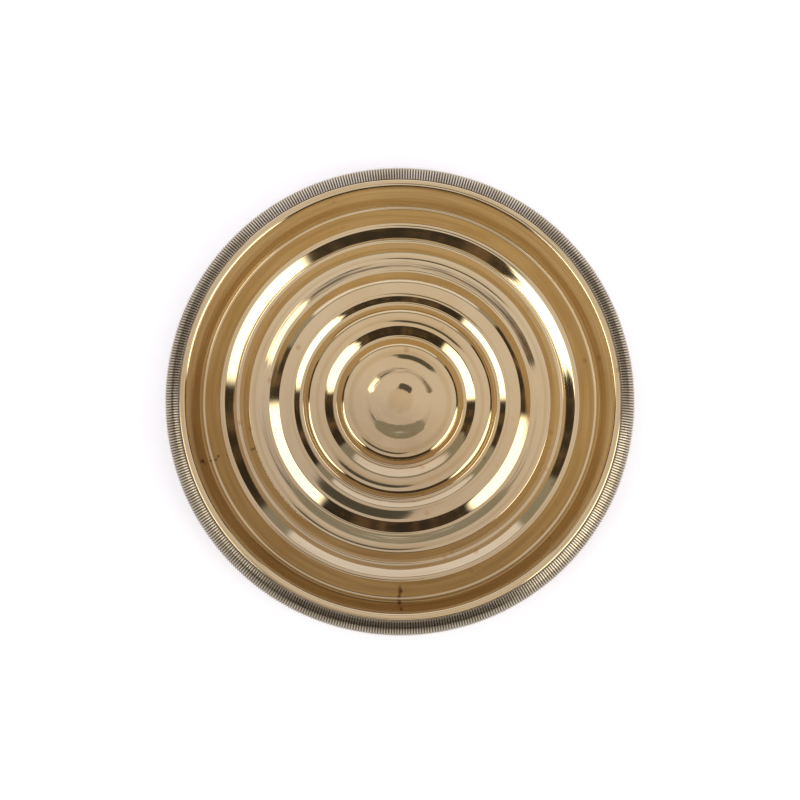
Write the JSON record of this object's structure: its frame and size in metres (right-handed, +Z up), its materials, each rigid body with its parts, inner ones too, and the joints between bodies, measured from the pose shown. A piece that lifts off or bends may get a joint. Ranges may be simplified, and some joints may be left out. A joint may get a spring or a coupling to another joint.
{
  "type": "offering plate",
  "caption": "Round shallow brass offering plate with concentric ripples around a central dimple, a steep wall, a rolled lip and a milled coin-edge rim.",
  "frame": {"origin": "centre of the plate's footprint, on the surface it stands on", "axes": "+Z up along the plate's axis; the plate is round, so +X and +Y are any two level directions"},
  "size_m": [0.254, 0.254, 0.032],
  "materials": {
    "spun_brass": "mirror polished, with fine spinning marks and light tarnish",
    "milled_brass": "milled coin edge with dark tarnish in the flutes",
    "turned_brass": "turned, satin",
    "solder": "dull solder",
    "adhesive": "dried glue film",
    "felt": "dark green wool felt"
  },
  "bodies": {
    "root": {"bowl_shell": "spun_brass", "milled_rim_ring": "milled_brass", "rim_solder_seam": "solder", "foot_ring": "turned_brass", "inner_foot_solder": "solder", "outer_foot_solder": "solder", "foot_felt_adhesive": "adhesive", "foot_felt_ring": "felt"}
  },
  "joints": []
}
